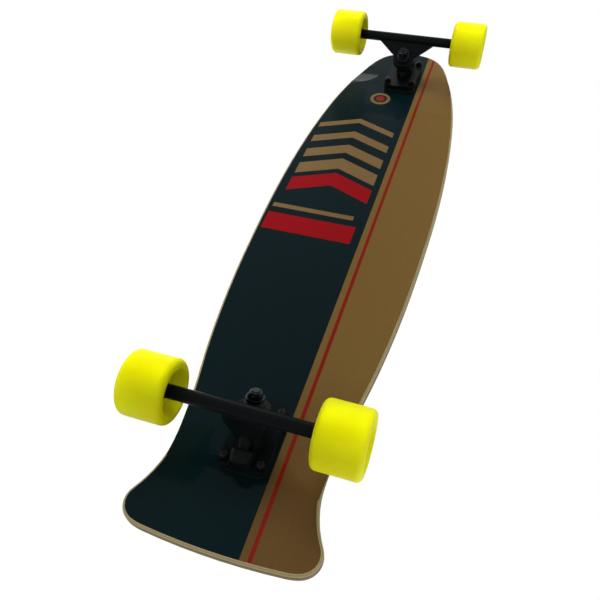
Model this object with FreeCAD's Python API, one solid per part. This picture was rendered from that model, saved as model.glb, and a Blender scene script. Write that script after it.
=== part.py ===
import FreeCAD, Part
import math
import os
from FreeCAD import Placement, Rotation, Vector

# Longboard skateboard on traditional-kingpin trucks, in millimetres.
# Frame: +X to the nose, +Y to the rider's left, +Z up. The origin is on the floor, midway along the deck.

# ---- overall sizes
deck_length = 950.0
nose_overhang = 84.8          # deck ahead of the front axle
tail_overhang = 117.8         # deck behind the rear axle
deck_thickness = 12.0         # nine maple plies
grip_thickness = 0.9
grip_margin = 3.5             # bare wood left around the grip tape

# ---- deck outline: half-widths, at distances back from the nose, from mid-deck or ahead of the tail
nose_round_back = 17.4
nose_round_half = 48.0
nose_shoulder_back = 58.4
nose_shoulder_half = 70.5
fore_quarter_back = 128.4
fore_quarter_half = 92.8
fore_side_back = 248.4
fore_side_half = 111.8
widest_forward = 46.6         # ahead of mid-deck
widest_half = 120.7
rear_side_behind = 93.4       # behind mid-deck
rear_side_half = 116.2
rear_quarter_ahead = 241.6
rear_quarter_half = 104.4
rear_taper_ahead = 161.6
rear_taper_half = 91.8
waist_ahead = 100.6
waist_half = 86.0
flare_root_ahead = 57.6
flare_root_half = 94.2
flare_ahead = 23.6
flare_half = 106.2
tail_corner_ahead = 12.6
tail_corner_half = 99.8
tail_bow_half = 76.0          # where the tail's shallow arc ends
tail_bow_drop = 3.6
arc_tolerance = 0.5           # the outline is cut as tangent arcs this close to its curve
lower_edge_radius = 4.0
upper_edge_bevel = 1.5

# ---- wheel wells, shallow scoops under the deck beside each axle
well_radius = 230.0
well_depth = 3.2              # at the deck's edge
well_tip = 46.0               # where the scoop runs out, from the centre line

# ---- wheels and bearings
wheel_radius = 35.0
wheel_width = 51.0
wheel_edge_radius = 6.0
lip_radius = 25.5             # rim of the side recess
recess_radius = 17.0          # floor of the side recess
core_radius = 15.5
bearing_radius = 11.0
bearing_bore_radius = 4.0
bearing_width = 7.0
race_radius = 6.1             # outside of the inner ring
shield_radius = 9.4
shield_sink = 0.35            # the shield lies this far inside the ring's face
bearing_gap = 10.0            # length of the spacer between the bearings
core_bore_radius = 9.4
spacer_radius = 5.3
speed_washer_radius = 5.6
speed_washer_thickness = 0.9

# ---- axle
axle_radius = 3.96
axle_end = 2.0                # thread showing beyond the nut
axle_nut_flats = 12.7
axle_nut_height = 7.0
hanger_width = 176.0

# ---- truck, seen from the side: x outboard and z up, with the axle at 0, 0
truck_height = 66.0           # axle to the baseplate's mounting face
riser_thickness = 6.0
hole_gap_along = 63.5
hole_gap_across = 41.3
pattern_setback = 7.0         # middle of the bolt holes, inboard of the axle
plate_inboard = 50.0           # the baseplate reaches this far inboard of the axle
plate_outboard = 34.0
plate_width = 52.0
plate_thickness = 7.0
plate_corner = 9.0
ring_back = 19.0              # centre of the kingpin ring, inboard of the axle
ring_up = 25.0
pivot_out = 22.0              # centre of the pivot ball, outboard of the axle
pivot_up = 46.5
kingpin_lean = 28.0           # degrees from upright
lean_limit = 18.0             # degrees that the hanger turns each way
ring_radius = 18.0
ring_edge = 1.5               # bevel of the ring's rims
ring_thickness = 9.0
ring_bore_radius = 7.6
kingpin_radius = 4.76
kingpin_head_flats = 14.3
kingpin_head_height = 6.0
kingpin_nut_flats = 14.3
kingpin_nut_height = 6.5
kingpin_end = 1.2             # thread showing beyond the nut
board_bushing_radius = 11.5
board_bushing_height = 11.0
road_bushing_radius = 11.0
road_bushing_tip_radius = 8.6
road_bushing_height = 8.5
cup_washer_thickness = 1.8
cup_washer_lip = 1.6
cup_washer_wall = 1.2
bar_radius = 7.5
wing_reach = 49.0             # half-width of the web where it meets the bar
wing_root = 24.0              # half-width of the web at its shoulders, beside the ring
wing_root_run = 24.0          # how far the shoulders are from the axle
wing_tip = 13.0               # half-width of the web at the ring
web_start = 4.0               # the web begins this far inside the bar
web_thickness = 8.0
web_root_thickness = 12.0     # at the ring
back_reach = 22.0             # half-width of the hanger's back, outboard of the bar
back_root = 9.0               # the same at the stem
knee_back = 20.0              # from the pivot ball to where the back ends on the stem
pivot_ball_radius = 6.0
pivot_cup_wall = 2.5
pivot_cup_mouth = 3.5         # the cup reaches this far past the ball's middle
pivot_wall = 3.0
gusset_tip = 1.5              # half-width of the tower's gusset where it ends
gusset_root = 9.0             # half-width of the tower's gusset under the washer
gusset_reach = 23.0           # its end, inboard of the axle
stem_root_radius = 10.5
stem_root_back = 31.0         # along the steering axis, from the pivot ball

# ---- fasteners of one truck
bolt_radius = 2.4
bolt_head_radius = 4.7
bolt_head_height = 2.8
bolt_socket_flats = 3.2
bolt_socket_depth = 1.8
locknut_flats = 9.5
locknut_height = 4.4
locknut_collar_radius = 3.9
locknut_collar_height = 1.4
bolt_end = 1.8

# ---- clearances
fit_clearance = 0.03          # between a shaft and what sits on it
hole_clearance = 0.25         # around a bolt
running_clearance = 0.08      # between parts that turn in each other
seat_gap = 0.05               # between flat faces of parts that move apart
pad_clearance = 1.0           # round what the hanger tilts past

# ---- derived sizes
axle_height = wheel_radius
nose_x = deck_length / 2
tail_x = -deck_length / 2
front_axle_x = nose_x - nose_overhang
rear_axle_x = tail_x + tail_overhang
deck_under = axle_height + truck_height + riser_thickness
deck_top = deck_under + deck_thickness
bearing_pair = bearing_gap + 2 * bearing_width
wheel_centre = hanger_width / 2 + speed_washer_thickness + bearing_pair / 2
nut_start = wheel_centre + bearing_pair / 2 + speed_washer_thickness
axle_half = nut_start + axle_nut_height + axle_end

lean = math.radians(kingpin_lean)
kingpin_up = Vector(math.sin(lean), 0, math.cos(lean))
kingpin_across = Vector(math.cos(lean), 0, -math.sin(lean))
ring_centre = Vector(-ring_back, 0, ring_up)
pivot_centre = Vector(pivot_out, 0, pivot_up)
steer_axis = (pivot_centre - ring_centre).normalize()
steer_normal = Vector(-steer_axis.z, 0, steer_axis.x)
# the hanger turns about the steering axis, so the kingpin tilts in its ring by less than the lean
kingpin_tilt = lean_limit * math.sin(steer_axis.getAngle(kingpin_up))

up = Vector(0, 0, 1)
origin = Vector(0, 0, 0)


# ---- shape helpers
def turned(outline):
    """Solid of revolution about Z of a closed outline of (radius, height) points."""
    points = [Vector(radius, 0, height) for radius, height in outline]
    wire = Part.makePolygon(points + points[:1])
    return Part.Face(wire).revolve(origin, up, 360)


def aimed(shape, place, direction):
    """The shape with its Z axis turned to a direction and its origin moved to a place."""
    placed = shape.copy()
    placed.Placement = Placement(place, Rotation(up, direction))
    return placed


def tube(outer_radius, inner_radius, low, high):
    """Plain ring about Z between two heights."""
    return turned([(inner_radius, low), (outer_radius, low), (outer_radius, high), (inner_radius, high)])


def hexagon(flats, low, high):
    """Hexagonal prism about Z."""
    corner = flats / math.sqrt(3)
    turns = [math.radians(60 * k) for k in range(7)]
    points = [Vector(corner * math.cos(turn), corner * math.sin(turn), low) for turn in turns]
    return Part.Face(Part.makePolygon(points)).extrude(Vector(0, 0, high - low))


def bevelled_nut(flats, low, high):
    """Hexagonal prism whose corners are turned off where it faces low, as on a nut."""
    corner = flats / math.sqrt(3)
    bevel = corner - flats / 2
    turned_off = turned([(0, low), (flats / 2, low), (corner, low + bevel), (corner, high), (0, high)])
    return hexagon(flats, low, high).common(turned_off)


def side_plate(outline, half_width):
    """Plate of a closed (x, z) outline, as wide as twice half_width across Y."""
    points = [Vector(x, -half_width, z) for x, z in outline]
    face = Part.Face(Part.makePolygon(points + points[:1]))
    return face.extrude(Vector(0, 2 * half_width, 0))


def rounded_plate(x_low, x_high, half_width, corner, low, high):
    """Flat plate with round corners in plan."""
    plate = Part.makeBox(x_high - x_low, 2 * half_width, high - low, Vector(x_low, -half_width, low))
    corners = [edge for edge in plate.Edges if abs(edge.tangentAt(edge.FirstParameter).z) > 0.99]
    return plate.makeFillet(corner, corners)


def fused(shapes):
    """One solid of several that overlap, without the seams between their faces."""
    return shapes[0].multiFuse(shapes[1:]).removeSplitter()


# ---- deck and grip tape
def deck_outline(inset, height):
    """The deck's outline at a height, drawn in by an inset."""
    nose = nose_x - inset
    tail = tail_x + inset
    side = [
        (nose - nose_round_back, nose_round_half),
        (nose - nose_shoulder_back, nose_shoulder_half),
        (nose - fore_quarter_back, fore_quarter_half),
        (nose - fore_side_back, fore_side_half),
        (widest_forward, widest_half),
        (-rear_side_behind, rear_side_half),
        (tail + rear_quarter_ahead, rear_quarter_half),
        (tail + rear_taper_ahead, rear_taper_half),
        (tail + waist_ahead, waist_half),
        (tail + flare_root_ahead, flare_root_half),
        (tail + flare_ahead, flare_half),
        (tail + tail_corner_ahead, tail_corner_half),
    ]
    left = [Vector(x, half - inset, height) for x, half in side]
    right = [Vector(point.x, -point.y, height) for point in reversed(left)]
    nose_and_sides = Part.BSplineCurve()
    nose_and_sides.interpolate(Points=right + [Vector(nose, 0, height)] + left)
    tail_left = Vector(tail + tail_bow_drop, tail_bow_half - inset, height)
    tail_right = Vector(tail_left.x, -tail_left.y, height)
    tail_arc = Part.Arc(tail_left, Vector(tail, 0, height), tail_right)
    left_corner = Part.BSplineCurve()
    left_corner.interpolate(
        Points=[left[-1], tail_left],
        InitialTangent=nose_and_sides.tangent(nose_and_sides.LastParameter)[0],
        FinalTangent=tail_arc.tangent(tail_arc.FirstParameter)[0],
    )
    right_corner = Part.BSplineCurve()
    right_corner.interpolate(
        Points=[tail_right, right[0]],
        InitialTangent=tail_arc.tangent(tail_arc.LastParameter)[0],
        FinalTangent=nose_and_sides.tangent(nose_and_sides.FirstParameter)[0],
    )
    arcs = nose_and_sides.toBiArcs(arc_tolerance) + left_corner.toBiArcs(arc_tolerance)
    arcs += [tail_arc] + right_corner.toBiArcs(arc_tolerance)
    return Part.Wire([arc.toShape() for arc in arcs])


def truck_places():
    """Name, axle position and turn of each truck. The rear one faces backwards."""
    return [("front", front_axle_x, 0), ("rear", rear_axle_x, 180)]


def bolt_places(axle_x, turn):
    """Plan positions of one truck's four bolts."""
    facing = 1 if turn == 0 else -1
    middle = axle_x - facing * pattern_setback
    return [Vector(middle + along * hole_gap_along / 2, across * hole_gap_across / 2, 0)
            for along in (-1, 1) for across in (-1, 1)]


def wheel_well(axle_x, side):
    """Scoop beside one wheel: a wide cylinder, tilted so that it runs out towards the middle."""
    axle_half_width = waist_half
    slope = math.atan2(well_depth, axle_half_width - well_tip)
    axis = Vector(0, side * math.cos(slope), math.sin(slope))
    reach = 2 * (axle_half_width - well_tip)
    tip = Vector(axle_x, side * well_tip, deck_under)
    across = Vector(0, -side * math.sin(slope), math.cos(slope))
    start = tip - across * well_radius - axis * well_tip
    return Part.makeCylinder(well_radius, well_tip + reach, start, axis)


def make_deck():
    slab = Part.Face(deck_outline(0, deck_under)).extrude(Vector(0, 0, deck_thickness))
    lower_rim = [edge for edge in slab.Edges if abs(edge.BoundBox.ZMax - deck_under) < 0.01]
    slab = slab.makeFillet(lower_edge_radius, lower_rim)
    upper_rim = [edge for edge in slab.Edges if abs(edge.BoundBox.ZMin - deck_top) < 0.01]
    slab = slab.makeChamfer(upper_edge_bevel, upper_rim)
    cuts = []
    for name, axle_x, turn in truck_places():
        for side in (-1, 1):
            cuts.append(wheel_well(axle_x, side))
        for place in bolt_places(axle_x, turn):
            cuts.append(bolt_hole(place))
    return slab.cut(cuts)


def bolt_hole(place):
    """Hole through the deck with a countersink for the bolt's head."""
    radius = bolt_radius + hole_clearance
    head = bolt_head_radius + hole_clearance
    rim = deck_top + grip_thickness
    hole = turned([(0, deck_under - 1), (radius, deck_under - 1), (radius, rim - bolt_head_height),
                   (head, rim), (0, rim)])
    hole.translate(place)
    return hole


def make_grip_tape():
    sheet = Part.Face(deck_outline(grip_margin, deck_top)).extrude(Vector(0, 0, grip_thickness))
    holes = []
    for name, axle_x, turn in truck_places():
        for place in bolt_places(axle_x, turn):
            start = Vector(place.x, place.y, deck_top - 1)
            holes.append(Part.makeCylinder(bolt_head_radius + hole_clearance, grip_thickness + 2, start))
    return sheet.cut(holes)


# ---- truck pieces that stay with the deck, in the truck's own frame
plate_in = -plate_inboard
plate_out = plate_outboard
plate_low = truck_height - plate_thickness


def plate_holes(low, high, radius):
    return [Part.makeCylinder(radius, high - low, Vector(place.x, place.y, low))
            for place in bolt_places(0, 0)]


def make_riser_pad():
    pad = rounded_plate(plate_in, plate_out, plate_width / 2, plate_corner,
                        truck_height, truck_height + riser_thickness)
    return pad.cut(plate_holes(truck_height - 1, truck_height + riser_thickness + 1,
                               bolt_radius + hole_clearance))


# heights along the kingpin, from the middle of the hanger's ring
board_seat = ring_thickness / 2 + seat_gap
board_washer = board_seat + board_bushing_height
tower_seat = board_washer + cup_washer_thickness
road_seat = -ring_thickness / 2 - seat_gap
road_washer = road_seat - road_bushing_height
nut_seat = road_washer - cup_washer_thickness
nut_low = nut_seat - kingpin_nut_height
head_corner = kingpin_head_flats / math.sqrt(3)
head_high = (truck_height - ring_up) / kingpin_up.z - head_corner * math.tan(lean) - seat_gap
head_low = head_high - kingpin_head_height
tower_radius = board_bushing_radius + 0.5


def gusset_section(x, half_width, low):
    """Upright rectangle across the tower's gusset, from a height up into the plate."""
    high = plate_low + 1
    return Part.makePolygon([Vector(x, -half_width, low), Vector(x, half_width, low), Vector(x, half_width, high),
                             Vector(x, -half_width, high), Vector(x, -half_width, low)])


def make_baseplate():
    plate = rounded_plate(plate_in, plate_out, plate_width / 2, plate_corner, plate_low, truck_height)
    # the tower that the kingpin stands in, leaning with it, and a gusset inboard of it
    tower_top = head_high + kingpin_head_flats / 2
    tower = turned([(0, tower_seat), (tower_radius, tower_seat), (tower_radius + 3, tower_top), (0, tower_top)])
    tower = aimed(tower, ring_centre, kingpin_up)
    under_washer = ring_centre + kingpin_up * (tower_seat + 1.5) - kingpin_across * (tower_radius - 4)
    gusset = Part.makeLoft([gusset_section(under_washer.x, gusset_root, under_washer.z),
                            gusset_section(-gusset_reach, gusset_tip, plate_low - 1.5)], True, True)
    # the pivot block, with a socket for the cup
    socket_radius = pivot_ball_radius + running_clearance + pivot_cup_wall
    block_radius = socket_radius + pivot_wall
    mouth = pivot_centre - steer_axis * pivot_cup_mouth
    floor = pivot_centre + steer_axis * (socket_radius + pivot_wall)
    upper_mouth = mouth + steer_normal * block_radius
    block = side_plate([(upper_mouth.x, upper_mouth.z), (mouth.x, mouth.z), (floor.x, floor.z),
                        (plate_out - 0.5, plate_low + 1), (upper_mouth.x, plate_low + 1)], block_radius)
    boss_depth = socket_radius + pivot_wall
    boss = turned([(0, -pivot_cup_mouth), (block_radius, -pivot_cup_mouth), (block_radius, boss_depth - 3),
                   (block_radius - 3, boss_depth), (0, boss_depth)])
    boss = aimed(boss, pivot_centre, steer_axis)
    body = fused([plate, tower, gusset, block, boss])
    body = body.common(Part.makeBox(300, 300, truck_height + 100, Vector(-150, -150, -100)))
    cuts = plate_holes(plate_low - 30, truck_height + 1, bolt_radius + hole_clearance)
    kingpin_hole = Part.makeCylinder(kingpin_radius + fit_clearance, 80, origin)
    cuts.append(aimed(kingpin_hole, ring_centre, kingpin_up))
    head_pocket = hexagon(kingpin_head_flats + 2 * hole_clearance, head_low, head_high + 20)
    cuts.append(aimed(head_pocket, ring_centre, kingpin_up))
    socket = turned([(0, -20), (socket_radius + fit_clearance, -20),
                     (socket_radius + fit_clearance, socket_radius + fit_clearance),
                     (0, socket_radius + fit_clearance)])
    cuts.append(aimed(socket, pivot_centre, steer_axis))
    return body.cut(cuts)


def make_pivot_cup():
    """Urethane cup round the hanger's pivot ball."""
    inner = pivot_ball_radius + running_clearance
    outer = inner + pivot_cup_wall
    cup = turned([(inner, -pivot_cup_mouth), (outer, -pivot_cup_mouth), (outer, outer), (0, outer),
                  (0, inner), (inner, inner)])
    return aimed(cup, pivot_centre, steer_axis)


def make_kingpin():
    shank_low = nut_low - kingpin_end
    shank = turned([(0, shank_low), (kingpin_radius - 0.8, shank_low), (kingpin_radius, shank_low + 0.8),
                    (kingpin_radius, head_low + 1), (0, head_low + 1)])
    head = hexagon(kingpin_head_flats, head_low, head_high)
    return aimed(fused([shank, head]), ring_centre, kingpin_up)


def make_board_bushing():
    """Barrel bushing between the ring and the baseplate's tower."""
    bore = kingpin_radius + fit_clearance
    rim = board_bushing_radius - 1.0
    bushing = turned([(bore, board_seat), (rim, board_seat), (board_bushing_radius, board_seat + 2.0),
                      (board_bushing_radius, board_washer), (bore, board_washer)])
    return aimed(bushing, ring_centre, kingpin_up)


def make_road_bushing():
    """Cone bushing between the ring and the nut's washer."""
    bore = kingpin_radius + fit_clearance
    bushing = turned([(bore, road_seat), (road_bushing_radius, road_seat),
                      (road_bushing_tip_radius, road_washer + cup_washer_lip),
                      (road_bushing_tip_radius, road_washer), (bore, road_washer)])
    return aimed(bushing, ring_centre, kingpin_up)


def cup_washer(seat, facing, reach):
    """Dished washer whose lip holds a bushing of a radius; facing is the side that the bushing is on."""
    bore = kingpin_radius + fit_clearance
    inner = reach + 0.3
    outer = inner + cup_washer_wall
    back = seat - facing * cup_washer_thickness
    lip = seat + facing * cup_washer_lip
    return aimed(turned([(bore, seat), (inner, seat), (inner, lip), (outer, lip), (outer, back), (bore, back)]),
                 ring_centre, kingpin_up)


def make_kingpin_nut():
    bore = kingpin_radius + fit_clearance
    collar = nut_low + 2.2
    nut = bevelled_nut(kingpin_nut_flats, collar, nut_seat)
    nut = nut.fuse(Part.makeCylinder(kingpin_nut_flats / 2 - 0.8, 2.3, Vector(0, 0, nut_low)))
    nut = nut.cut(Part.makeCylinder(bore, 40, Vector(0, 0, nut_low - 1)))
    return aimed(nut.removeSplitter(), ring_centre, kingpin_up)


def make_bolts():
    """Four countersunk socket bolts through the deck, the riser pad and the baseplate."""
    rim = truck_height + riser_thickness + deck_thickness + grip_thickness
    low = plate_low - locknut_height - locknut_collar_height - bolt_end
    bolt = turned([(0, low), (bolt_radius, low), (bolt_radius, rim - bolt_head_height),
                   (bolt_head_radius, rim), (0, rim)])
    bolt = bolt.cut(hexagon(bolt_socket_flats, rim - bolt_socket_depth, rim + 1))
    return Part.makeCompound([bolt.translated(place) for place in bolt_places(0, 0)])


def make_locknuts():
    high = plate_low
    low = high - locknut_height
    nut = hexagon(locknut_flats, low, high)
    collar = Part.makeCylinder(locknut_collar_radius, locknut_collar_height + 0.5,
                               Vector(0, 0, low - locknut_collar_height))
    nut = fused([nut, collar]).cut(Part.makeCylinder(bolt_radius + fit_clearance, 30, Vector(0, 0, low - 10)))
    return Part.makeCompound([nut.translated(place) for place in bolt_places(0, 0)])


# ---- truck pieces that lean with the hanger
def web_section(across, run, thickness):
    """Cross-section of the web at a place across: from inside the bar, so far towards the ring."""
    towards_ring = Vector(ring_centre).normalize()
    square = Vector(towards_ring.z, 0, -towards_ring.x)
    upper = thickness - web_start
    corners = [towards_ring * -web_start - square * web_start, towards_ring * run - square * web_start,
               towards_ring * run + square * upper, towards_ring * -web_start + square * upper]
    corners = [corner + Vector(0, across, 0) for corner in corners]
    return Part.makePolygon(corners + corners[:1])


def back_section(across, outline):
    corners = [Vector(x, across, z) for x, z in outline]
    return Part.makePolygon(corners + corners[:1])


def both_sides(sections):
    """Sections from one side in to the middle, and on to their mirror images."""
    return sections + [section.mirror(origin, Vector(0, 1, 0)) for section in reversed(sections)]


def make_hanger():
    bar = Part.makeCylinder(bar_radius, hanger_width, Vector(0, -hanger_width / 2, 0), Vector(0, 1, 0))
    bar_ends = [edge for edge in bar.Edges if edge.Curve.TypeId == "Part::GeomCircle"]
    bar = bar.makeChamfer(0.8, bar_ends)
    half = ring_thickness / 2
    ring = turned([(0, -half), (ring_radius - ring_edge, -half), (ring_radius, -half + ring_edge),
                   (ring_radius, half - ring_edge), (ring_radius - ring_edge, half), (0, half)])
    ring = aimed(ring, ring_centre, kingpin_up)
    # the web narrows in two steps from the bar to the ring
    web = Part.makeLoft(both_sides([web_section(wing_reach, web_start, web_thickness),
                                    web_section(wing_root, wing_root_run, web_thickness + 1),
                                    web_section(wing_tip, ring_centre.Length, web_root_thickness)]), True, True)
    # the stem rises outboard of the bushing and ends in the pivot ball
    stem = turned([(0, -stem_root_back), (stem_root_radius, -stem_root_back), (stem_root_radius - 1, -20),
                   (pivot_ball_radius, -8), (pivot_ball_radius, 0), (0, 0)])
    stem = aimed(fused([stem, Part.makeSphere(pivot_ball_radius)]), pivot_centre, steer_axis)
    # its back narrows from the bar to the stem
    knee = pivot_centre - steer_axis * knee_back
    wide = back_section(back_reach, [(-2, 4), (-3, 11), (3, 15), (9, 12), (7, 3)])
    narrow = back_section(back_root, [(-2, 4), (ring_centre.x + 4, ring_centre.z), (knee.x, knee.z + 6),
                                      (knee.x + 8, knee.z), (7, 3)])
    back = Part.makeLoft(both_sides([wide, narrow]), True, True)
    body = fused([bar, ring, web, stem, back])
    # room for the bushings, and for the tower and its washer, which the hanger tilts past
    spread = math.tan(math.radians(kingpin_tilt))
    face = ring_thickness / 2
    tower_room = tower_radius + cup_washer_wall + pad_clearance
    above = board_washer - cup_washer_lip
    space = 45
    board_side = turned([(0, face), (board_bushing_radius + pad_clearance, face),
                         (tower_room + above * spread, above), (tower_room + space * spread, space), (0, space)])
    road_side = Part.makeCylinder(road_bushing_radius + pad_clearance, space, Vector(0, 0, -face - space))
    bore = Part.makeCylinder(ring_bore_radius, 2 * ring_thickness, Vector(0, 0, -ring_thickness))
    cuts = [aimed(cut, ring_centre, kingpin_up) for cut in (board_side, road_side, bore)]
    cuts.append(Part.makeCylinder(axle_radius + fit_clearance, 2 * hanger_width,
                                  Vector(0, -hanger_width, 0), Vector(0, 1, 0)))
    return body.cut(cuts)


def make_axle():
    chamfer = 0.8
    rod = turned([(0, -axle_half), (axle_radius - chamfer, -axle_half), (axle_radius, -axle_half + chamfer),
                  (axle_radius, axle_half - chamfer), (axle_radius - chamfer, axle_half), (0, axle_half)])
    return aimed(rod, origin, Vector(0, 1, 0))


# ---- wheel pieces, about Z with the outboard side up; the wheel's middle is at 0
def make_tyre():
    half = wheel_width / 2
    floor = bearing_pair / 2 + 1.0
    bore = core_radius + fit_clearance
    edge = wheel_edge_radius
    corner = math.sin(math.radians(45))
    points = [Vector(bore, 0, -floor), Vector(recess_radius, 0, -floor),
              Vector(lip_radius, 0, -half), Vector(wheel_radius - edge, 0, -half)]
    outline = [Part.LineSegment(a, b).toShape() for a, b in zip(points, points[1:])]
    low_mid = Vector(wheel_radius - edge + edge * corner, 0, -half + edge - edge * corner)
    low_end = Vector(wheel_radius, 0, -half + edge)
    outline.append(Part.Arc(points[-1], low_mid, low_end).toShape())
    high_end = Vector(wheel_radius, 0, half - edge)
    outline.append(Part.LineSegment(low_end, high_end).toShape())
    high_mid = Vector(low_mid.x, 0, -low_mid.z)
    outline.append(Part.Arc(high_end, high_mid, Vector(wheel_radius - edge, 0, half)).toShape())
    mirrored = [Vector(point.x, 0, -point.z) for point in reversed(points)]
    outline += [Part.LineSegment(a, b).toShape() for a, b in zip(mirrored, mirrored[1:])]
    outline.append(Part.LineSegment(mirrored[-1], points[0]).toShape())
    return Part.Face(Part.Wire(outline)).revolve(origin, up, 360)


def make_core():
    half = bearing_pair / 2 + 1.0
    seat = bearing_gap / 2
    bore = bearing_radius + fit_clearance
    return turned([(bore, -half), (core_radius, -half), (core_radius, half), (bore, half),
                   (bore, seat), (core_bore_radius, seat), (core_bore_radius, -seat), (bore, -seat)])


def make_bearing_shells():
    """Outer rings of the two bearings, closed by their shields."""
    shells = []
    for side in (-1, 1):
        inner = side * bearing_gap / 2
        outer = inner + side * bearing_width
        sunk = outer - side * shield_sink
        shells.append(turned([(race_radius + running_clearance, inner), (bearing_radius, inner),
                              (bearing_radius, outer), (shield_radius, outer), (shield_radius, sunk),
                              (race_radius + running_clearance, sunk)]))
    return Part.makeCompound(shells)


def make_inner_rings():
    half = bearing_gap / 2
    bore = bearing_bore_radius
    return Part.makeCompound([tube(race_radius, bore, -half - bearing_width, -half),
                              tube(race_radius, bore, half, half + bearing_width)])


def make_spacer():
    return tube(spacer_radius, bearing_bore_radius, -bearing_gap / 2, bearing_gap / 2)


def make_speed_washers():
    half = bearing_pair / 2
    bore = bearing_bore_radius
    return Part.makeCompound([tube(speed_washer_radius, bore, -half - speed_washer_thickness, -half),
                              tube(speed_washer_radius, bore, half, half + speed_washer_thickness)])


def make_axle_nut():
    low = nut_start - wheel_centre
    collar = 2.0
    nut = hexagon(axle_nut_flats, low, low + axle_nut_height - collar)
    ring = Part.makeCylinder(axle_nut_flats / 2 - 0.7, collar + 0.5,
                             Vector(0, 0, low + axle_nut_height - collar - 0.5))
    return fused([nut, ring]).cut(Part.makeCylinder(axle_radius + fit_clearance, 30, origin))


# ---- assembly
def save(name, shape):
    shape.exportStep("parts/" + name + ".step")


def truck_pieces():
    return {
        "riser_pad": make_riser_pad(),
        "baseplate": make_baseplate(),
        "pivot_cup": make_pivot_cup(),
        "kingpin": make_kingpin(),
        "kingpin_nut": make_kingpin_nut(),
        "boardside_bushing": make_board_bushing(),
        "boardside_washer": cup_washer(board_washer, -1, board_bushing_radius),
        "roadside_bushing": make_road_bushing(),
        "roadside_washer": cup_washer(road_washer, 1, road_bushing_tip_radius),
        "hanger": make_hanger(),
        "axle": make_axle(),
        "mounting_bolts": make_bolts(),
        "mounting_locknuts": make_locknuts(),
    }


def wheel_pieces():
    return {
        "wheel_tyre": make_tyre(),
        "wheel_core": make_core(),
        "bearing_shells": make_bearing_shells(),
        "bearing_inner_rings": make_inner_rings(),
        "bearing_spacer": make_spacer(),
        "speed_washers": make_speed_washers(),
        "axle_nut": make_axle_nut(),
    }


os.makedirs("parts", exist_ok=True)
save("deck", make_deck())
save("grip_tape", make_grip_tape())
truck_set = truck_pieces()
wheel_set = wheel_pieces()
for end, axle_x, turn in truck_places():
    placement = Placement(Vector(axle_x, 0, axle_height), Rotation(up, turn))
    for piece, shape in truck_set.items():
        placed = shape.copy()
        placed.Placement = placement.multiply(shape.Placement)
        save(end + "_" + piece, placed)
    for side, facing in (("left", 1), ("right", -1)):
        hub = Placement(Vector(axle_x, facing * wheel_centre, axle_height),
                        Rotation(up, Vector(0, facing, 0)))
        for piece, shape in wheel_set.items():
            placed = shape.copy()
            placed.Placement = hub.multiply(shape.Placement)
            save(end + "_" + side + "_" + piece, placed)
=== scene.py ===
import bmesh
import bpy
import math
from mathutils import Matrix, Vector


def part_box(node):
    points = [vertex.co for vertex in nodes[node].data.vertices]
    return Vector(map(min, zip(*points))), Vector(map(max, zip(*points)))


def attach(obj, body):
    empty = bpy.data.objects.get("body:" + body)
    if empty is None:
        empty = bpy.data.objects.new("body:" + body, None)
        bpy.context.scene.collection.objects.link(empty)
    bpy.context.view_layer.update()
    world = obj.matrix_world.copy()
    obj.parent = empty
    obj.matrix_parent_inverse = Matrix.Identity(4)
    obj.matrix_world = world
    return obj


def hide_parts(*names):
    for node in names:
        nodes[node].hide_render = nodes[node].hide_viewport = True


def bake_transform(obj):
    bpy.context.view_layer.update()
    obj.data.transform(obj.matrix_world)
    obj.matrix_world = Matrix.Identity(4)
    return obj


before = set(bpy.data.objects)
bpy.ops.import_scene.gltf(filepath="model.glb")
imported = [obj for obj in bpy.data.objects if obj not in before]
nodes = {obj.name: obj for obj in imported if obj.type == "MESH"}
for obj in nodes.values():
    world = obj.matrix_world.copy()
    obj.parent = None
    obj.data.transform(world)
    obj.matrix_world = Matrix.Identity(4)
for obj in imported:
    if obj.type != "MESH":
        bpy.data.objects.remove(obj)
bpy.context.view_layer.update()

ends = ("front", "rear")
sides = ("left", "right")
mm = 0.001


def toLinear(hexColour):
    channels = [int(hexColour[i:i + 2], 16) / 255 for i in (1, 3, 5)]
    return tuple(c / 12.92 if c <= 0.04045 else ((c + 0.055) / 1.055) ** 2.4 for c in channels) + (1.0,)


def addNode(tree, kind, values=None, **settings):
    # one shader node: its settings, then each socket's value or the output that feeds it
    node = tree.nodes.new("ShaderNode" + kind)
    for name, value in settings.items():
        setattr(node, name, value)
    for socket, value in (values or {}).items():
        if isinstance(value, bpy.types.NodeSocket):
            tree.links.new(value, node.inputs[socket])
        else:
            node.inputs[socket].default_value = value
    return node


def newFinish(name, constants):
    # a material with one Principled shader, its constants set on its own sockets
    material = bpy.data.materials.new(name)
    material.use_nodes = True
    tree = material.node_tree
    tree.nodes.clear()
    shader = addNode(tree, "BsdfPrincipled", constants)
    addNode(tree, "OutputMaterial", {"Surface": shader.outputs["BSDF"]})
    return material, tree, shader


def dress(nodeName, material):
    piece = nodes[nodeName]
    piece.data.materials.clear()
    piece.data.materials.append(material)


# the camera looks up at the underside from behind the tail, so the floor has to be clear from below
cameraSetup = {
    "place": (-0.6236, 0.1737, -0.5001),        # metres
    "aim": (-0.1506, -0.0154, 0.1070),
    "roll": 175.59,        # degrees
    "lens": 37.45,        # mm
    "sensor": 36.0,
}


def addCamera():
    data = bpy.data.cameras.new("camera")
    data.sensor_width = cameraSetup["sensor"]
    data.lens = cameraSetup["lens"]
    camera = bpy.data.objects.new("camera", data)
    place, aim = Vector(cameraSetup["place"]), Vector(cameraSetup["aim"])
    turn = (aim - place).to_track_quat("-Z", "Y").to_matrix().to_4x4()
    roll = Matrix.Rotation(math.radians(cameraSetup["roll"]), 4, "Z")
    camera.matrix_world = Matrix.Translation(place) @ turn @ roll
    bpy.context.scene.collection.objects.link(camera)
    bpy.context.scene.camera = camera


addCamera()
print("camera placed")

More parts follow.
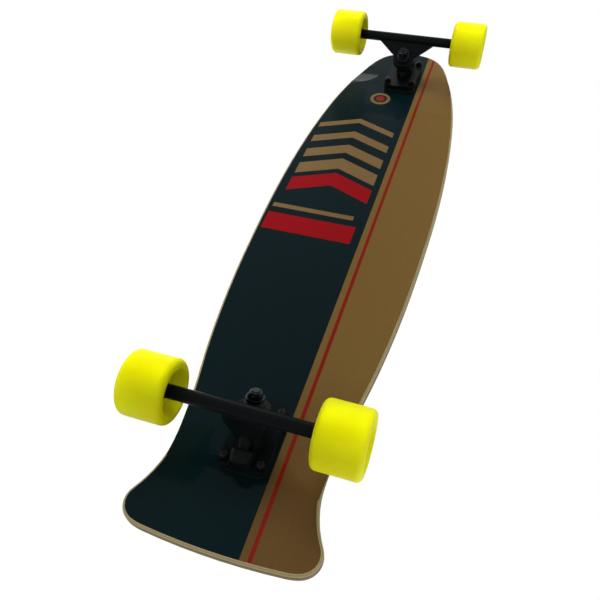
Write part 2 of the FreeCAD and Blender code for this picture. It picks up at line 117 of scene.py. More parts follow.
# deck: nine maple plies with a printed underside, all under clear lacquer
# sizes are along and across the board, in mm
deckPrint = {
    "black": "#04161a",
    "tan": "#71582e",
    # painted shade: a darker brown that the tan turns towards the tail, where less light falls
    "tanPaintedTailShade": "#5f4626",
    "cream": "#735c3a",
    "darkRed": "#7a1c10",
    "brightRed": "#8a0610",
    "boundary": 30.2,        # mm to the left of the centre line, where black meets tan
    "paintedTailShade": (-240.0, -400.0),        # along the board, where the painted shade starts and ends turning the tan darker and browner
    "stripe": (40.4, 4.6),        # middle and width across
    "thinBar": (12.8, 8.4, -50.5, 121.0),        # middle along, size along, middle across, size across
    "thickBar": (-20.6, 34.2, -47.0, 130.0),
    "chevronStart": 74.0,        # mm ahead of mid-deck
    "chevronPitch": 41.0,
    "chevronCount": 5,
    "chevronMiddle": -42.0,
    "chevronHalfWidth": 62.0,
    "chevronSlope": 0.42,
    "chevronFill": 0.74,        # share of the pitch that the first one takes
    "chevronThinning": 0.11,        # each next one is thinner by this
    "roundelPlace": (316.0, -25.0),
    "roundelRadius": 17.0,
    "roundelDot": 0.9,        # share of the radius that the dot is across
    "roundelRing": (0.84, 0.32),        # middle and width of the ring, as shares of the radius
    "tanReach": 400.0,        # mm, well past the edge of the deck
    "softEdge": 0.3,        # mm
    "flatCosine": (0.971, 0.979),        # what leans more than this is the rounded edge, which is not printed
}
lacquer = {
    "Roughness": 0.5,
    "Specular IOR Level": 0.02,
    "Coat Weight": 0.07,
    "Coat Roughness": 0.05,
    "Coat IOR": 1.5,
}
maplePlies = {
    "pale": "#b5a67e",
    "dark": "#665939",
    "face": "#9c8354",
    "plyThickness": 1.33,        # mm
    "upperPliesPaintedShade": (109.0, 110.4),        # mm above the floor, where the painted shade on the upper plies starts and ends
    "upperPaintedShade": 0.75,
    "grainLength": 60.0,        # mm
    "grainWidth": 1.4,
    "grainSpan": (0.3, 0.7),        # the part of the noise that shows
    "bareShade": (0.88, 1.1),        # how far the grain darkens and lightens bare wood
    "inkShade": (0.96, 1.04),        # and the print over it
    "lineShare": 0.42,        # of two plies, what the dark line takes
    "lineDark": 0.5,
    "topCosine": (0.95, 0.97),        # what faces up more than this is the top ply
    "peelSize": 3.0,        # mm, the lacquer's ripple
    "peelDepth": 0.2,
    "peelStrength": 0.04,
}


def bandMask(tree, value, middle, size):
    # 1 within half the size of the middle, 0 outside, with a soft edge
    away = addNode(tree, "Math", {0: value, 1: middle}, operation="SUBTRACT").outputs[0]
    away = addNode(tree, "Math", {0: away}, operation="ABSOLUTE").outputs[0]
    edge = deckPrint["softEdge"] / 2
    return addNode(tree, "MapRange", {"Value": away, "From Min": size / 2 + edge,
                                      "From Max": size / 2 - edge}).outputs[0]


def barMask(tree, along, across, bar):
    middleAlong, sizeAlong, middleAcross, sizeAcross = bar
    inLength = bandMask(tree, along, middleAlong, sizeAlong)
    inWidth = bandMask(tree, across, middleAcross, sizeAcross)
    return addNode(tree, "Math", {0: inLength, 1: inWidth}, operation="MULTIPLY").outputs[0]


def chevronMasks(tree, along, across):
    # a row of chevrons that point to the nose and get thinner towards it, and which of them is the first
    pitch, count = deckPrint["chevronPitch"], deckPrint["chevronCount"]
    aside = addNode(tree, "Math", {0: across, 1: deckPrint["chevronMiddle"]}, operation="SUBTRACT").outputs[0]
    aside = addNode(tree, "Math", {0: aside}, operation="ABSOLUTE").outputs[0]
    ahead = addNode(tree, "Math", {0: along, 1: deckPrint["chevronStart"]}, operation="SUBTRACT").outputs[0]
    swept = addNode(tree, "Math", {0: aside, 1: deckPrint["chevronSlope"], 2: ahead},
                    operation="MULTIPLY_ADD").outputs[0]
    steps = addNode(tree, "Math", {0: swept, 1: pitch}, operation="DIVIDE").outputs[0]
    step = addNode(tree, "Math", {0: steps}, operation="FLOOR").outputs[0]
    intoStep = addNode(tree, "Math", {0: steps}, operation="FRACT").outputs[0]
    fill = addNode(tree, "Math", {0: step, 1: -deckPrint["chevronThinning"], 2: deckPrint["chevronFill"]},
                   operation="MULTIPLY_ADD").outputs[0]
    shown = addNode(tree, "Math", {0: intoStep, 1: fill}, operation="LESS_THAN").outputs[0]
    for mask in (bandMask(tree, swept, count * pitch / 2, count * pitch),
                 bandMask(tree, aside, 0.0, 2 * deckPrint["chevronHalfWidth"])):
        shown = addNode(tree, "Math", {0: shown, 1: mask}, operation="MULTIPLY").outputs[0]
    first = addNode(tree, "Math", {0: step, 1: 0.5}, operation="LESS_THAN").outputs[0]
    first = addNode(tree, "Math", {0: shown, 1: first}, operation="MULTIPLY").outputs[0]
    return shown, first


def lacqueredMaple():
    # printed maple under clear lacquer: deep, even gloss below and pale bare plies round the edge
    material, tree, shader = newFinish("lacqueredPrintedMaple", lacquer)
    coordinates = addNode(tree, "TexCoord")
    inMm = addNode(tree, "VectorMath", {0: coordinates.outputs["Object"], "Scale": 1 / mm},
                   operation="SCALE").outputs[0]
    along, across, up = addNode(tree, "SeparateXYZ", {0: inMm}).outputs

    # the print: tan beyond the boundary, darkened by painted shade towards the tail, a red stripe, two bars,
    # the chevrons and a roundel
    chevrons, firstChevron = chevronMasks(tree, along, across)
    roundelAlong, roundelAcross = deckPrint["roundelPlace"]
    radius = deckPrint["roundelRadius"]
    ringMiddle, ringWidth = deckPrint["roundelRing"]
    fromRoundel = addNode(tree, "VectorMath", {0: inMm, 1: (roundelAlong, roundelAcross, 0)},
                          operation="SUBTRACT")
    flat = addNode(tree, "VectorMath", {0: fromRoundel.outputs[0], 1: (1, 1, 0)},
                   operation="MULTIPLY").outputs[0]
    fromRoundel = addNode(tree, "VectorMath", {0: flat}, operation="LENGTH").outputs["Value"]
    reach = deckPrint["tanReach"]
    tan = bandMask(tree, across, deckPrint["boundary"] + reach / 2, reach)
    # painted shade: the tan darkens towards the tail
    shadeStart, shadeEnd = deckPrint["paintedTailShade"]
    tail = addNode(tree, "MapRange", {"Value": along, "From Min": shadeStart,
                                      "From Max": shadeEnd}).outputs[0]
    tanPaintedTailShade = addNode(tree, "Math", {0: tan, 1: tail}, operation="MULTIPLY").outputs[0]
    layers = [
        (tan, "tan"),
        (tanPaintedTailShade, "tanPaintedTailShade"),
        (bandMask(tree, across, *deckPrint["stripe"]), "darkRed"),
        (barMask(tree, along, across, deckPrint["thinBar"]), "cream"),
        (barMask(tree, along, across, deckPrint["thickBar"]), "brightRed"),
        (chevrons, "cream"),
        (firstChevron, "brightRed"),
        (bandMask(tree, fromRoundel, 0.0, radius * deckPrint["roundelDot"]), "darkRed"),
        (bandMask(tree, fromRoundel, radius * ringMiddle, radius * ringWidth), "cream"),
    ]
    ink = toLinear(deckPrint["black"])
    for mask, shade in layers:
        ink = addNode(tree, "Mix", {"Factor": mask, 6: ink, 7: toLinear(deckPrint[shade])},
                      data_type="RGBA").outputs[2]

    # maple grain, stretched along the board
    length, width = maplePlies["grainLength"], maplePlies["grainWidth"]
    stretched = addNode(tree, "VectorMath", {0: inMm, 1: (1 / length, 1 / width, 1 / width)},
                        operation="MULTIPLY")
    grain = addNode(tree, "TexNoise", {"Vector": stretched.outputs[0], "Scale": 1.0, "Detail": 3.0,
                                       "Roughness": 0.6}).outputs["Fac"]
    faint, strong = maplePlies["grainSpan"]
    shades = []
    for darkest, lightest in (maplePlies["bareShade"], maplePlies["inkShade"]):
        shades.append(addNode(tree, "MapRange", {"Value": grain, "From Min": faint, "From Max": strong,
                                                 "To Min": darkest, "To Max": lightest}).outputs[0])
    bareShade, inkShade = shades

    # the edge: plies lie level, every other one darker where its end grain shows, the upper ones darker still
    # by painted shade
    plies = addNode(tree, "Math", {0: up, 1: 2 * maplePlies["plyThickness"]}, operation="DIVIDE").outputs[0]
    plies = addNode(tree, "Math", {0: plies}, operation="FRACT").outputs[0]
    plies = bandMask(tree, plies, 0.5, maplePlies["lineShare"])
    plies = addNode(tree, "MapRange", {"Value": plies, "To Max": maplePlies["lineDark"]}).outputs[0]
    # painted shade: the upper side of the edge darker, as if away from the light
    upperFrom, upperTo = maplePlies["upperPliesPaintedShade"]
    upper = addNode(tree, "MapRange", {"Value": up, "From Min": upperFrom, "From Max": upperTo,
                                       "To Max": maplePlies["upperPaintedShade"]}).outputs[0]
    plies = addNode(tree, "Math", {0: plies, 1: upper}, operation="ADD", use_clamp=True).outputs[0]
    wood = addNode(tree, "Mix", {"Factor": plies, 6: toLinear(maplePlies["pale"]),
                                 7: toLinear(maplePlies["dark"])}, data_type="RGBA").outputs[2]
    facing = addNode(tree, "SeparateXYZ", {0: coordinates.outputs["Normal"]}).outputs[2]
    level, upward = maplePlies["topCosine"]
    onTop = addNode(tree, "MapRange", {"Value": facing, "From Min": level, "From Max": upward}).outputs[0]
    wood = addNode(tree, "Mix", {"Factor": onTop, 6: wood, 7: toLinear(maplePlies["face"])},
                   data_type="RGBA").outputs[2]
    wood = addNode(tree, "VectorMath", {0: wood, "Scale": bareShade}, operation="SCALE").outputs[0]
    ink = addNode(tree, "VectorMath", {0: ink, "Scale": inkShade}, operation="SCALE").outputs[0]
    rounded, flatBelow = deckPrint["flatCosine"]
    below = addNode(tree, "MapRange", {"Value": facing, "From Min": -rounded,
                                       "From Max": -flatBelow}).outputs[0]
    colour = addNode(tree, "Mix", {"Factor": below, 6: wood, 7: ink}, data_type="RGBA").outputs[2]
    tree.links.new(colour, shader.inputs["Base Color"])

    # lacquer's faint orange peel
    peel = addNode(tree, "TexNoise", {"Vector": inMm, "Scale": 1 / maplePlies["peelSize"],
                                      "Detail": 1.0}).outputs["Fac"]
    bump = addNode(tree, "Bump", {"Height": peel, "Strength": maplePlies["peelStrength"],
                                  "Distance": maplePlies["peelDepth"] * mm})
    tree.links.new(bump.outputs[0], shader.inputs["Coat Normal"])
    return material


dress("deck", lacqueredMaple())
print("deck lacquered and printed")

gripTape = {
    "grit": "#161616",
    # painted highlight: the lighter grey that glinting grains take
    "glintPaint": "#4c4c4c",
    "gritSize": 0.9,        # mm; real 80 grit is 0.2 mm, drawn coarser so that it shows
    "gritDepth": 0.3,
    "gritStrength": 0.8,
    "paintedGlintGrains": (0.72, 0.95),        # painted glints: the share of grains without one, and where a grain's painted glint is at its brightest
    "paintedGlintMost": 0.5,
    "wearSize": 70.0,        # mm, about a shoe's width
    "wearShade": (0.8, 1.25),
    "roughness": 0.93,
    "specular": 0.35,
}


def gritTape():
    # silicon carbide grit on black tape: dead matt, with painted glints on a few grains
    material, tree, shader = newFinish("siliconCarbideGrip", {"Roughness": gripTape["roughness"],
                                                              "Specular IOR Level": gripTape["specular"]})
    place = addNode(tree, "TexCoord").outputs["Object"]
    grains = addNode(tree, "TexVoronoi", {"Vector": place, "Scale": 1 / (gripTape["gritSize"] * mm)})
    wear = addNode(tree, "TexNoise", {"Vector": place, "Scale": 1 / (gripTape["wearSize"] * mm),
                                      "Detail": 4.0}).outputs["Fac"]
    # painted glints: a few grains turn lighter, standing in for light catching them
    dull, paintedGlintLevel = gripTape["paintedGlintGrains"]
    paintedGlintLevel = addNode(tree, "MapRange", {"Value": grains.outputs["Color"], "From Min": dull,
                                        "From Max": paintedGlintLevel, "To Max": gripTape["paintedGlintMost"]}).outputs[0]
    colour = addNode(tree, "Mix", {"Factor": paintedGlintLevel, 6: toLinear(gripTape["grit"]),
                                   7: toLinear(gripTape["glintPaint"])}, data_type="RGBA").outputs[2]
    darkest, lightest = gripTape["wearShade"]
    shade = addNode(tree, "MapRange", {"Value": wear, "To Min": darkest, "To Max": lightest}).outputs[0]
    tree.links.new(addNode(tree, "VectorMath", {0: colour, "Scale": shade}, operation="SCALE").outputs[0],
                   shader.inputs["Base Color"])
    bump = addNode(tree, "Bump", {"Height": grains.outputs["Distance"], "Strength": gripTape["gritStrength"],
                                  "Distance": gripTape["gritDepth"] * mm})
    tree.links.new(bump.outputs[0], shader.inputs["Normal"])
    return material


dress("grip_tape", gritTape())
print("grip tape laid")

truckCasting = {
    "black": "#060a0b",
    "worn": "#0c1112",
    "roughness": (0.34, 0.48),
    "specular": 0.05,
    "peelSize": 1.6,        # mm, the ripple of baked powder
    "peelDepth": 0.2,
    "peelStrength": 0.25,
    "cloudSize": 18.0,        # mm, handling wear
}


def powderCoat():
    # powder-coated cast aluminium: black satin with a fine orange peel
    material, tree, shader = newFinish("powderCoatedAluminium",
                                       {"Specular IOR Level": truckCasting["specular"]})
    place = addNode(tree, "TexCoord").outputs["Object"]
    cloud = addNode(tree, "TexNoise", {"Vector": place, "Scale": 1 / (truckCasting["cloudSize"] * mm),
                                       "Detail": 4.0}).outputs["Fac"]
    peel = addNode(tree, "TexNoise", {"Vector": place, "Scale": 1 / (truckCasting["peelSize"] * mm),
                                      "Detail": 2.0}).outputs["Fac"]
    colour = addNode(tree, "Mix", {"Factor": cloud, 6: toLinear(truckCasting["black"]),
                                   7: toLinear(truckCasting["worn"])}, data_type="RGBA").outputs[2]
    tree.links.new(colour, shader.inputs["Base Color"])
    smooth, rough = truckCasting["roughness"]
    tree.links.new(addNode(tree, "MapRange", {"Value": cloud, "To Min": smooth, "To Max": rough}).outputs[0],
                   shader.inputs["Roughness"])
    bump = addNode(tree, "Bump", {"Height": peel, "Strength": truckCasting["peelStrength"],
                                  "Distance": truckCasting["peelDepth"] * mm})
    tree.links.new(bump.outputs[0], shader.inputs["Normal"])
    return material


rubberParts = {
    "riser": "#0a0a0b",
    "bushing": "#1b1c1e",
    "nylon": "#3a3b3d",
    "roughness": 0.62,
    "specular": 0.15,
    "bloomSize": 11.0,        # mm
    "bloomShade": (0.8, 1.35),
    "bloomDepth": 0.2,        # mm
    "bloomStrength": 0.15,
}


def mouldedRubber(name, hexColour):
    # moulded rubber, cast urethane or nylon: soft black with a faint bloom
    material, tree, shader = newFinish(name, {"Roughness": rubberParts["roughness"],
                                              "Specular IOR Level": rubberParts["specular"]})
    place = addNode(tree, "TexCoord").outputs["Object"]
    bloom = addNode(tree, "TexNoise", {"Vector": place, "Scale": 1 / (rubberParts["bloomSize"] * mm),
                                       "Detail": 5.0}).outputs["Fac"]
    darkest, lightest = rubberParts["bloomShade"]
    shade = addNode(tree, "MapRange", {"Value": bloom, "To Min": darkest, "To Max": lightest}).outputs[0]
    base = addNode(tree, "VectorMath", {0: toLinear(hexColour)[:3], "Scale": shade}, operation="SCALE")
    tree.links.new(base.outputs[0], shader.inputs["Base Color"])
    bump = addNode(tree, "Bump", {"Height": bloom, "Strength": rubberParts["bloomStrength"],
                                  "Distance": rubberParts["bloomDepth"] * mm})
    tree.links.new(bump.outputs[0], shader.inputs["Normal"])
    return material


steelParts = {
    "zinc": "#97989a",
    # painted shade: a darker copy of the same zinc plate for the kingpin hardware, standing in for the dark
    # surroundings it mirrors
    "zincWithPaintedShade": "#202326",
    "ground": "#b7b9bb",
    "blackOxide": "#1f2022",
    "zincRoughness": (0.22, 0.42),
    "groundRoughness": (0.12, 0.25),
    "oxideRoughness": (0.3, 0.5),
    "cloudSize": 4.0,        # mm, the spangle of the plating
    "cloudShade": (0.82, 1.12),
}


def metalFinish(name, hexColour, roughness):
    # plated, ground or oxide-blacked steel: colour and gloss drift a little over each part
    material, tree, shader = newFinish(name, {"Metallic": 1.0})
    place = addNode(tree, "TexCoord").outputs["Object"]
    cloud = addNode(tree, "TexNoise", {"Vector": place, "Scale": 1 / (steelParts["cloudSize"] * mm),
                                       "Detail": 4.0, "Roughness": 0.6}).outputs["Fac"]
    darkest, lightest = steelParts["cloudShade"]
    shade = addNode(tree, "MapRange", {"Value": cloud, "To Min": darkest, "To Max": lightest}).outputs[0]
    base = addNode(tree, "VectorMath", {0: toLinear(hexColour)[:3], "Scale": shade}, operation="SCALE")
    tree.links.new(base.outputs[0], shader.inputs["Base Color"])
    smooth, rough = roughness
    tree.links.new(addNode(tree, "MapRange", {"Value": cloud, "To Min": smooth, "To Max": rough}).outputs[0],
                   shader.inputs["Roughness"])
    return material


coat = powderCoat()
riserRubber = mouldedRubber("mouldedBlackRubber", rubberParts["riser"])
bushingRubber = mouldedRubber("castBushingUrethane", rubberParts["bushing"])
zinc = metalFinish("zincPlatedSteel", steelParts["zinc"], steelParts["zincRoughness"])
# painted shade: the darker copy of the zinc plate
zincWithPaintedShade = metalFinish("zincPlateWithPaintedShade", steelParts["zincWithPaintedShade"], steelParts["zincRoughness"])
oxide = metalFinish("blackOxideSteel", steelParts["blackOxide"], steelParts["oxideRoughness"])
ground = metalFinish("groundBearingSteel", steelParts["ground"], steelParts["groundRoughness"])

for end in ends:
    for part in ("baseplate", "hanger"):
        dress(f"{end}_{part}", coat)
    dress(f"{end}_riser_pad", riserRubber)
    dress(f"{end}_pivot_cup", riserRubber)
    for part in ("boardside_bushing", "roadside_bushing"):
        dress(f"{end}_{part}", bushingRubber)
    # painted shade: the kingpin hardware gets the darker copy of the zinc
    for part in ("kingpin", "kingpin_nut", "boardside_washer", "roadside_washer"):
        dress(f"{end}_{part}", zincWithPaintedShade)
    dress(f"{end}_axle", zinc)
    for part in ("mounting_bolts", "mounting_locknuts"):
        dress(f"{end}_{part}", oxide)
print("trucks coated, steel plated")

wheelParts = {
    "tyre": "#eefa18",
    "tyreShade": "#eee006",
    "core": "#e4de0e",
    "roughness": (0.4, 0.55),
    "specular": 0.08,
    "scatter": 0.6,        # the share of light that goes into the urethane
    "scatterDepth": 8.0,        # mm
    "scatterColours": (1.0, 0.8, 0.15),        # red goes deepest, so shaded sides turn warmer
    "cloudSize": 45.0,        # mm, how the pigment drifts through a casting
    "skinSize": 2.4,        # mm; a real mould's texture is 0.1 mm, drawn coarser so that it shows
    "skinDepth": 0.2,
    "skinStrength": 0.08,
    "coreSpecular": 0.5,
    "coreRoughness": (0.3, 0.45),
    "coreShade": (0.88, 1.08),
    "fibreSize": 3.3,        # mm; real glass fibres are 0.01 mm, drawn coarser so that they show
}


def castUrethane():
    # cast polyurethane: bright yellow, faintly translucent at its edges, with a soft satin skin
    material, tree, shader = newFinish("castYellowUrethane", {
        "Subsurface Weight": wheelParts["scatter"], "Subsurface Radius": wheelParts["scatterColours"],
        "Subsurface Scale": wheelParts["scatterDepth"] * mm, "Specular IOR Level": wheelParts["specular"]})
    place = addNode(tree, "TexCoord").outputs["Object"]
    cloud = addNode(tree, "TexNoise", {"Vector": place, "Scale": 1 / (wheelParts["cloudSize"] * mm),
                                       "Detail": 3.0}).outputs["Fac"]
    colour = addNode(tree, "Mix", {"Factor": cloud, 6: toLinear(wheelParts["tyre"]),
                                   7: toLinear(wheelParts["tyreShade"])}, data_type="RGBA").outputs[2]
    tree.links.new(colour, shader.inputs["Base Color"])
    skin = addNode(tree, "TexNoise", {"Vector": place, "Scale": 1 / (wheelParts["skinSize"] * mm),
                                      "Detail": 2.0}).outputs["Fac"]
    smooth, rough = wheelParts["roughness"]
    tree.links.new(addNode(tree, "MapRange", {"Value": skin, "To Min": smooth, "To Max": rough}).outputs[0],
                   shader.inputs["Roughness"])
    bump = addNode(tree, "Bump", {"Height": skin, "Strength": wheelParts["skinStrength"],
                                  "Distance": wheelParts["skinDepth"] * mm})
    tree.links.new(bump.outputs[0], shader.inputs["Normal"])
    return material


def mouldedCore():
    # glass-filled nylon, moulded: the same yellow, harder and a little glossier
    material, tree, shader = newFinish("mouldedYellowNylon",
                                       {"Specular IOR Level": wheelParts["coreSpecular"]})
    place = addNode(tree, "TexCoord").outputs["Object"]
    fibre = addNode(tree, "TexNoise", {"Vector": place, "Scale": 1 / (wheelParts["fibreSize"] * mm),
                                       "Detail": 4.0}).outputs["Fac"]
    darkest, lightest = wheelParts["coreShade"]
    shade = addNode(tree, "MapRange", {"Value": fibre, "To Min": darkest, "To Max": lightest}).outputs[0]
    base = addNode(tree, "VectorMath", {0: toLinear(wheelParts["core"])[:3], "Scale": shade},
                   operation="SCALE")
    tree.links.new(base.outputs[0], shader.inputs["Base Color"])
    smooth, rough = wheelParts["coreRoughness"]
    tree.links.new(addNode(tree, "MapRange", {"Value": fibre, "To Min": smooth, "To Max": rough}).outputs[0],
                   shader.inputs["Roughness"])
    return material


urethane = castUrethane()
nylon = mouldedCore()
for end in ends:
    for side in sides:
        corner = f"{end}_{side}"
        dress(f"{corner}_wheel_tyre", urethane)
        dress(f"{corner}_wheel_core", nylon)
        for part in ("bearing_shells", "bearing_inner_rings"):
            dress(f"{corner}_{part}", ground)
        for part in ("bearing_spacer", "speed_washers", "axle_nut"):
            dress(f"{corner}_{part}", zinc)
print("wheels cast")

softening = {
    "turnedSharp": 35.0,        # degrees: a turned edge sharper than this stays crisp
    "castSharp": 40.0,        # a cast edge sharper than this is rounded
    "segments": 2,
    "weldWithin": 0.002,        # mm
}


# small turned and threaded pieces on the CAD hardware: one made about Z stands on a point, along an axis
def standOn(piece, foot, axis):
    piece.matrix_world = Matrix.Translation(foot) @ Vector(axis).to_track_quat("Z", "Y").to_matrix().to_4x4()
    bpy.context.scene.collection.objects.link(piece)
    return piece


def turnedPiece(name, outline, material, steps=96):
    # a closed outline of (radius, height) in mm, turned about Z
    shape = bmesh.new()
    angles = [2 * math.pi * step / steps for step in range(steps)]
    rings = [[shape.verts.new((radius * mm * math.cos(angle), radius * mm * math.sin(angle), height * mm))
              for angle in angles] for radius, height in outline]
    for ring, following in zip(rings, rings[1:] + rings[:1]):
        for step in range(steps):
            after = (step + 1) % steps
            shape.faces.new((ring[step], ring[after], following[after], following[step]))
    bmesh.ops.recalc_face_normals(shape, faces=shape.faces)
    mesh = bpy.data.meshes.new(name)
    shape.to_mesh(mesh)
    shape.free()
    mesh.shade_smooth()
    mesh.set_sharp_from_angle(angle=math.radians(softening["turnedSharp"]))
    mesh.materials.append(material)
    return bpy.data.objects.new(name, mesh)


def threadRidge(name, radius, pitch, length, material, stepsPerTurn=40):
    # one ridge that winds up the end of a rod, with a sunk root, and fades in and out
    shape = bmesh.new()
    count = int(stepsPerTurn * length / pitch)
    sections = []
    for step in range(count + 1):
        angle = 2 * math.pi * step / stepsPerTurn
        fade = min(1.0, step / threads["fadeSteps"], (count - step) / threads["fadeSteps"])
        middle = pitch * step / stepsPerTurn
        flank, halfWidth = radius - threads["flankSunk"], threads["halfWidth"] * pitch
        corners = ((flank, middle - halfWidth), (radius + threads["depth"] * fade, middle),
                   (flank, middle + halfWidth), (radius - threads["rootSunk"], middle))
        sections.append([
            shape.verts.new((out * mm * math.cos(angle), out * mm * math.sin(angle), height * mm))
            for out, height in corners])
    for section, following in zip(sections, sections[1:]):
        for corner in range(4):
            after = (corner + 1) % 4
            shape.faces.new((section[corner], section[after], following[after], following[corner]))
    shape.faces.new(sections[0])
    shape.faces.new(sections[-1])
    bmesh.ops.recalc_face_normals(shape, faces=shape.faces)
    mesh = bpy.data.meshes.new(name)
    shape.to_mesh(mesh)
    shape.free()
    mesh.materials.append(material)
    return bpy.data.objects.new(name, mesh)


truck = {
    "kingpinLean": 28.0,        # degrees
    "ringBack": 19.0,        # mm inboard of the axle
    "ringUp": 25.0,
    "boltsBack": 7.0,        # middle of the bolt pattern, inboard of the axle
    "boltGaps": (63.5, 41.3),
    "kingpinRadius": 4.76,
    "nutLow": -21.35,        # along the kingpin, from the middle of the ring
    "boltRadius": 2.4,
    "axleRadius": 3.96,
}
bushings = {        # (radius, height along the kingpin) round each one, pressed to a slight belly
    "boardside": [(4.8, 4.6), (10.1, 4.6), (10.9, 5.0), (11.35, 5.9), (11.55, 7.6), (11.6, 10.0),
                  (11.55, 12.4), (11.45, 14.2), (11.3, 15.1), (10.9, 15.5), (4.8, 15.5)],
    "roadside": [(4.8, -13.0), (8.0, -13.0), (8.5, -12.6), (8.65, -11.6), (9.3, -9.8), (10.1, -7.9),
                 (10.75, -6.4), (10.95, -5.4), (10.7, -4.8), (10.3, -4.6), (4.8, -4.6)],
}
threads = {
    "depth": 0.15,        # mm proud of the rod
    "flankSunk": 0.1,        # mm inside the rod, where the flanks end
    "rootSunk": 0.4,
    "halfWidth": 0.36,        # of the pitch
    "fadeSteps": 10,        # a quarter turn
    "axlePitch": 1.06,
    "axleLength": 1.3,
    "kingpinPitch": 1.06,
    "kingpinLength": 1.1,
    "boltPitch": 0.79,
    "boltLength": 1.6,
}
inserts = {
    "proud": 0.25,        # mm beyond the nut's end
    "sunk": 0.5,
    "bevel": (0.15, 0.1),        # at the bore and at the rim
    "axle": (4.05, 5.1),        # inner and outer radius
    "kingpin": (4.85, 5.7),
    "bolt": (2.48, 3.35),
}


def nylonRing(name, radii, material):
    inner, outer = radii
    proud, sunk = inserts["proud"], inserts["sunk"]
    atBore, atRim = inserts["bevel"]
    outline = [(inner, -sunk), (outer, -sunk), (outer, proud - atRim), (outer - atRim, proud),
               (inner + atBore, proud), (inner, proud - atBore)]
    return turnedPiece(name, outline, material, steps=48)


nylonInsert = mouldedRubber("nylonLockingRing", rubberParts["nylon"])
for end in ends:
    facing = 1 if end == "front" else -1
    low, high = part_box(f"{end}_axle")
    axle = (Vector(low) + Vector(high)) / 2
    lean = math.radians(truck["kingpinLean"])
    kingpinUp = Vector((facing * math.sin(lean), 0, math.cos(lean)))
    ring = axle + Vector((-facing * truck["ringBack"] * mm, 0, truck["ringUp"] * mm))
    hanger = f"{end}_truck_hanger"

    # bushings: pressed shapes turned about the kingpin at the ring, in place of the CAD ones
    for which, outline in bushings.items():
        bushing = turnedPiece(f"{end}_{which}_bushing_pressed", outline, bushingRubber)
        standOn(bushing, ring, kingpinUp)
        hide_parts(f"{end}_{which}_bushing")
        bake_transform(bushing)

    # kingpin end and its nut
    nutEnd = ring + kingpinUp * truck["nutLow"] * mm
    thread = threadRidge(f"{end}_kingpin_thread", truck["kingpinRadius"], threads["kingpinPitch"],
                         threads["kingpinLength"], zincWithPaintedShade)
    insert = nylonRing(f"{end}_kingpin_nut_insert", inserts["kingpin"], nylonInsert)
    for piece in (thread, insert):
        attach(standOn(piece, nutEnd, -kingpinUp), "board")

    # bolt ends and their nuts
    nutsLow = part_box(f"{end}_mounting_locknuts")[0][2]
    gapAlong, gapAcross = truck["boltGaps"]
    number = 0
    for signAlong in (-1, 1):
        for signAcross in (-1, 1):
            number += 1
            foot = Vector((axle.x - facing * truck["boltsBack"] * mm + signAlong * gapAlong / 2 * mm,
                           signAcross * gapAcross / 2 * mm, nutsLow))
            thread = threadRidge(f"{end}_bolt_thread_{number}", truck["boltRadius"], threads["boltPitch"],
                                 threads["boltLength"], oxide)
            insert = nylonRing(f"{end}_locknut_insert_{number}", inserts["bolt"], nylonInsert)
            for piece in (thread, insert):
                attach(standOn(piece, foot, (0, 0, -1)), "board")

    # axle ends and their nuts
    for side in sides:
        outward = 1 if side == "left" else -1
        nutLow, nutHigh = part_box(f"{end}_{side}_axle_nut")
        foot = Vector((axle.x, nutHigh[1] if side == "left" else nutLow[1], axle.z))
        thread = threadRidge(f"{end}_{side}_axle_thread", truck["axleRadius"], threads["axlePitch"],
                             threads["axleLength"], zinc)
        insert = nylonRing(f"{end}_{side}_axle_nut_insert", inserts["axle"], nylonInsert)
        for piece in (thread, insert):
            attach(standOn(piece, foot, (0, outward, 0)), hanger)
print("bushings pressed, threads and nut inserts added")

# cast and forged edges are never knife sharp
castEdges = {        # how wide each one is softened
    "hanger": 0.9,        # mm
    "baseplate": 0.8,
    "riser_pad": 0.5,
    "kingpin_nut": 0.35,
    "boardside_washer": 0.25,
    "roadside_washer": 0.25,
}
for end in ends:
    for part, width in castEdges.items():
        piece = nodes[f"{end}_{part}"]
        weld = piece.modifiers.new("weld", "WELD")
        weld.merge_threshold = softening["weldWithin"] * mm
        bevel = piece.modifiers.new("softEdges", "BEVEL")
        bevel.width = width * mm
        bevel.segments = softening["segments"]
        bevel.limit_method = "ANGLE"
        bevel.angle_limit = math.radians(softening["castSharp"])
        bevel.use_clamp_overlap = True
        bevel.harden_normals = True
print("edges softened")

studio = {
    "floor": "#ececea",
    "floorSize": 12.0,        # metres
    "lampAim": (0, 0, 0.08),
    "floorFade": (0.9, 2.6),        # metres from the object, where the floor starts and ends turning white
    "skyDiffuse": 0.38,        # the world's level for what is not camera, mirror or glass
}


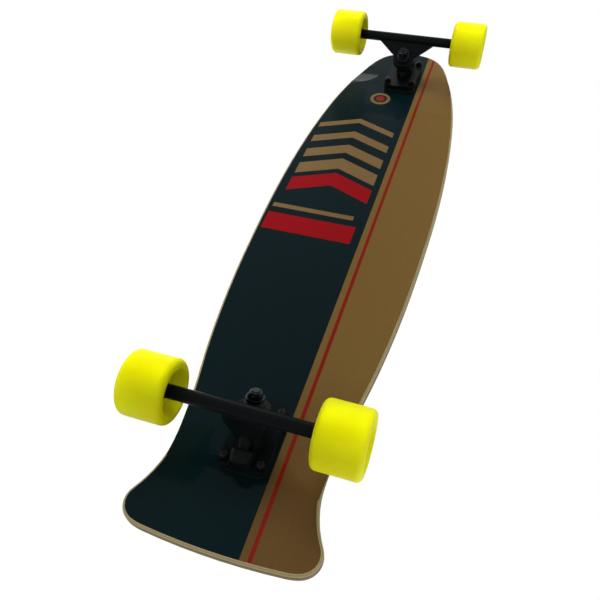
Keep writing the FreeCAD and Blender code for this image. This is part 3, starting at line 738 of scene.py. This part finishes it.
def addFloor():
    # seen from above it is a plain pale floor, white far off
    # from below it is clear, and lamps and mirror images pass through it
    half = studio["floorSize"] / 2
    mesh = bpy.data.meshes.new("floor")
    corners = [(-half, -half, 0), (half, -half, 0), (half, half, 0), (-half, half, 0)]
    mesh.from_pydata(corners, [], [(0, 1, 2, 3)])
    floor = bpy.data.objects.new("floor", mesh)
    bpy.context.scene.collection.objects.link(floor)
    material = bpy.data.materials.new("paleFloor")
    material.use_nodes = True
    tree = material.node_tree
    tree.nodes.clear()
    paint = addNode(tree, "BsdfDiffuse", {"Color": toLinear(studio["floor"])})
    clear = addNode(tree, "BsdfTransparent")
    light = addNode(tree, "LightPath")
    fadeStart, fadeEnd = studio["floorFade"]
    away = addNode(tree, "VectorMath", {0: addNode(tree, "TexCoord").outputs["Object"]}, operation="LENGTH")
    fade = addNode(tree, "MapRange", {"Value": away.outputs["Value"], "From Min": fadeStart,
                                      "From Max": fadeEnd}, interpolation_type="SMOOTHSTEP")
    fade = addNode(tree, "Math", {0: fade.outputs[0], 1: light.outputs["Is Camera Ray"]},
                   operation="MULTIPLY")
    white = addNode(tree, "Emission", {"Color": (1, 1, 1, 1), "Strength": 1.0})
    paint = addNode(tree, "MixShader", {0: fade.outputs[0], 1: paint.outputs[0], 2: white.outputs[0]})
    backface = addNode(tree, "NewGeometry").outputs["Backfacing"]
    unseen = addNode(tree, "Math", {0: light.outputs["Is Shadow Ray"], 1: backface}, operation="MAXIMUM")
    unseen = addNode(tree, "Math", {0: unseen.outputs[0], 1: light.outputs["Is Glossy Ray"]},
                     operation="MAXIMUM")
    mix = addNode(tree, "MixShader", {0: unseen.outputs[0], 1: paint.outputs[0], 2: clear.outputs[0]})
    addNode(tree, "OutputMaterial", {"Surface": mix.outputs[0]})
    mesh.materials.append(material)


def addWorld():
    world = bpy.data.worlds.new("studio")
    bpy.context.scene.world = world
    world.use_nodes = True
    tree = world.node_tree
    tree.nodes.clear()
    light = addNode(tree, "LightPath")
    seen = addNode(tree, "Math", {0: light.outputs["Is Camera Ray"], 1: light.outputs["Is Glossy Ray"]},
                   operation="MAXIMUM")
    seen = addNode(tree, "Math", {0: seen.outputs[0], 1: light.outputs["Is Transmission Ray"]},
                   operation="MAXIMUM")
    level = addNode(tree, "MapRange", {"Value": seen.outputs[0], "To Min": studio["skyDiffuse"]})
    sky = addNode(tree, "Background", {"Color": (1, 1, 1, 1), "Strength": level.outputs[0]})
    addNode(tree, "OutputWorld", {"Surface": sky.outputs[0]})


lamps = {
    "keyAbove": {"place": (0.7, -1.3, 1.6), "size": 1.4, "power": 26.0},
    "fillAbove": {"place": (-1.2, 1.0, 1.3), "size": 1.6, "power": 12.0},
    "keyBelow": {"place": (0.62, -0.12, -1.45), "size": 1.0, "power": 17.0, "hidden": True},
    "fillBelow": {"place": (-1.1, 0.9, -0.9), "size": 1.4, "power": 2.0},
    # mirrored in the wheel wells
    "noseGlint": {"place": (2.15, -0.63, -0.61), "size": 0.42, "power": 3.6},
}


def addLamp(name, setup):
    data = bpy.data.lights.new(name, "AREA")
    data.shape = "DISK"
    data.size = setup["size"]
    data.energy = setup["power"]
    lamp = bpy.data.objects.new(name, data)
    place = Vector(setup["place"])
    turn = (Vector(studio["lampAim"]) - place).to_track_quat("-Z", "Y").to_matrix().to_4x4()
    lamp.matrix_world = Matrix.Translation(place) @ turn
    lamp.visible_glossy = not setup.get("hidden", False)        # the lacquer would mirror its whole disk
    bpy.context.scene.collection.objects.link(lamp)


addFloor()
addWorld()
for lampName, lampSetup in lamps.items():
    addLamp(lampName, lampSetup)
bpy.context.scene.view_settings.view_transform = "Standard"
print("studio lit")
